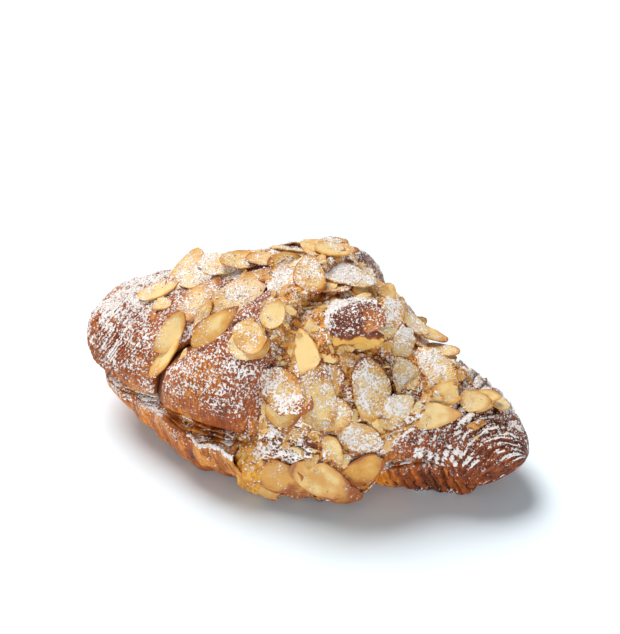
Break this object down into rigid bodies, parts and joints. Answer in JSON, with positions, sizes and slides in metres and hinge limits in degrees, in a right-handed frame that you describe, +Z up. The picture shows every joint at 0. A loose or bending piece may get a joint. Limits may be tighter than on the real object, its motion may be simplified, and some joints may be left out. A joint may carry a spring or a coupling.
{
  "type": "almond croissant",
  "caption": "Almond croissant split along its length, filled and topped with frangipane, with sliced almonds stuck over the crust and icing sugar.",
  "frame": {"origin": "on the surface it rests on, below the middle of the croissant", "axes": "+X along the croissant from its blunt left tip to its narrow right tip, -Y towards the front that shows the cut and the hanging frangipane, +Z up"},
  "size_m": [0.163, 0.0902, 0.067],
  "materials": {
    "crust_upper": "baked laminated pastry, golden brown to dark brown, dusted with icing sugar",
    "crust_lower": "baked laminated pastry, golden brown with darker streaks",
    "filling": "baked almond cream, yellow, moist",
    "topping": "baked almond cream with sliced almonds, golden, dusted with icing sugar"
  },
  "bodies": {
    "root": {"croissant_lower_half": "crust_lower", "frangipane_filling": "filling", "croissant_upper_half": "crust_upper", "frangipane_topping": "topping"}
  },
  "joints": []
}
